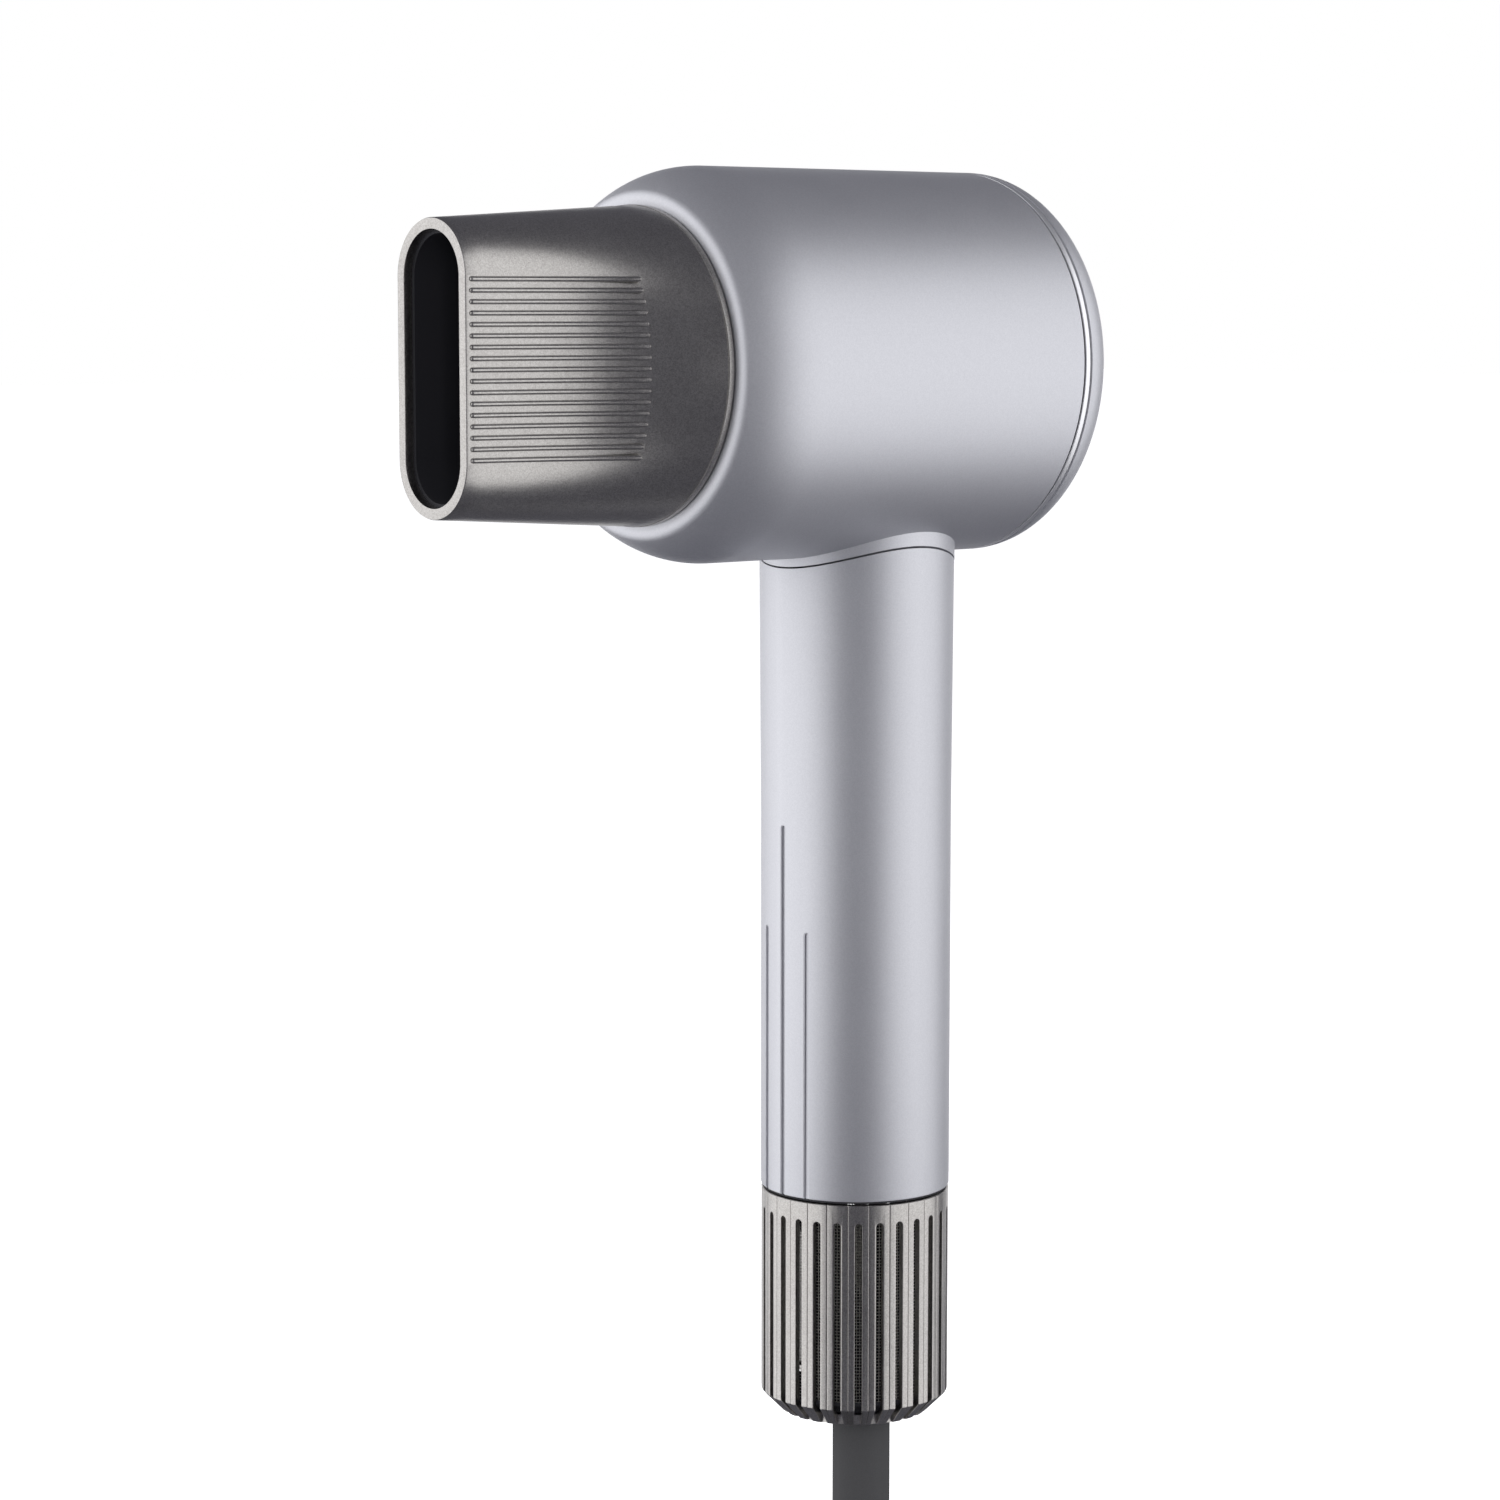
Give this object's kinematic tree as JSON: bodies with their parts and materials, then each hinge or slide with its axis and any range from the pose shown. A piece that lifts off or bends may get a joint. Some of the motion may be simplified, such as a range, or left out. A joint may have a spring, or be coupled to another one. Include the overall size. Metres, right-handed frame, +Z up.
{
  "type": "hair dryer",
  "caption": "Cylindrical hair dryer: slim tube handle, barrel head, magnetic slot nozzle, slotted intake cage, rear controls, motor, heater and tied mains lead.",
  "frame": {"origin": "on the handle's axis, at the middle of the straight stretch where a hand or a holder grips it", "axes": "+Z up along the handle towards the head, -X the way the nozzle blows, +X the side of the buttons, -Y the dryer's right side as seen by the person holding it with the nozzle ahead"},
  "size_m": [0.1407, 0.0776, 0.5468],
  "materials": {
    "body_paint": "satin metallic paint over moulded plastic, cool silver",
    "trim_metal": "fine brushed",
    "gunmetal": "satin metallic paint over moulded plastic, warm gunmetal",
    "black_plastic": "matte",
    "rubber": "smooth matte",
    "steel": "satin",
    "mesh_steel": "woven wire",
    "magnet": "nickel plated",
    "mica": "mica sheet",
    "heating_wire": "resistance wire",
    "board": "solder mask",
    "board_parts": "moulded cases",
    "button_metal": "spun satin",
    "lens": "frosted",
    "wire": "insulated",
    "cord": "smooth matte",
    "tie": "hook and loop",
    "plug_metal": "nickel plated brass"
  },
  "bodies": {
    "dryer": {"head_shell": "body_paint", "rear_gasket": "black_plastic", "rear_trim_ring": "trim_metal", "rear_cover": "body_paint", "outlet_bezel": "black_plastic", "nozzle_magnet": "magnet", "outlet_guard": "black_plastic", "heat_shield": "steel", "rear_baffle": "black_plastic", "air_deflector": "black_plastic", "heater_frame": "mica", "heater_wire": "heating_wire", "thermal_cutout": "black_plastic", "thermal_fuse": "steel", "ion_generator": "black_plastic", "ion_needle": "steel", "rear_screws": "steel", "handle_tube": "body_paint", "neck_sleeve": "black_plastic", "chassis_left": "black_plastic", "chassis_right": "black_plastic", "main_board": "board", "board_parts": "board_parts", "switch_board": "board", "control_panel": "black_plastic", "tact_switches": "black_plastic", "indicator_lenses": "lens", "power_switch": "black_plastic", "motor_housing": "black_plastic", "motor_stator": "heating_wire", "motor_bearings": "steel", "motor_mounts": "rubber", "intake_frame": "black_plastic", "cage_magnets": "magnet", "cord_core": "cord", "cord_lead": "cord", "cord_hank": "cord", "cord_tie": "tie", "cord_tail": "cord", "plug_case": "cord", "plug_pins": "plug_metal", "supply_wires": "wire", "heater_wires": "wire", "strain_relief": "rubber", "cord_clamp": "black_plastic", "inner_screws": "steel"},
    "filter": {"filter_cage": "gunmetal", "filter_mesh": "mesh_steel", "mesh_rings": "black_plastic", "keeper_plate": "steel"},
    "rotor": {"motor_shaft": "steel", "rotor_magnet": "magnet", "impeller": "black_plastic"},
    "power_slider": {"power_slider": "button_metal"},
    "speed_button": {"speed_button": "button_metal"},
    "temperature_button": {"temperature_button": "button_metal"},
    "cool_button": {"cool_button": "button_metal"},
    "nozzle_seat": {"nozzle_seat_ring": "steel"},
    "nozzle": {"nozzle_shell": "gunmetal", "nozzle_liner": "black_plastic"}
  },
  "joints": [
    {"name": "nozzle_pull", "type": "slide", "parent": "dryer", "child": "nozzle_seat", "axis": [-1, 0, 0], "range_m": [0, 0.03]},
    {"name": "nozzle_turn", "type": "hinge", "parent": "nozzle_seat", "child": "nozzle", "pos_m": [-0.0572, 0, 0.11], "axis": [-1, 0, 0], "continuous": true},
    {"name": "filter_pull", "type": "slide", "parent": "dryer", "child": "filter", "axis": [0, 0, -1], "range_m": [0, 0.045]},
    {"name": "rotor_spin", "type": "hinge", "parent": "dryer", "child": "rotor", "pos_m": [0, 0, -0.04], "axis": [0, 0, 1], "continuous": true},
    {"name": "power_slide", "type": "slide", "parent": "dryer", "child": "power_slider", "axis": [0, 0, 1], "range_m": [0, 0.004]},
    {"name": "speed_button_press", "type": "slide", "parent": "dryer", "child": "speed_button", "axis": [-1, 0, 0], "range_m": [0, 0.0006], "stiffness_N_per_m": 1500},
    {"name": "temperature_button_press", "type": "slide", "parent": "dryer", "child": "temperature_button", "axis": [-1, 0, 0], "range_m": [0, 0.0006], "stiffness_N_per_m": 1500},
    {"name": "cool_button_press", "type": "slide", "parent": "dryer", "child": "cool_button", "axis": [-1, 0, 0], "range_m": [0, 0.0006], "stiffness_N_per_m": 1500}
  ]
}
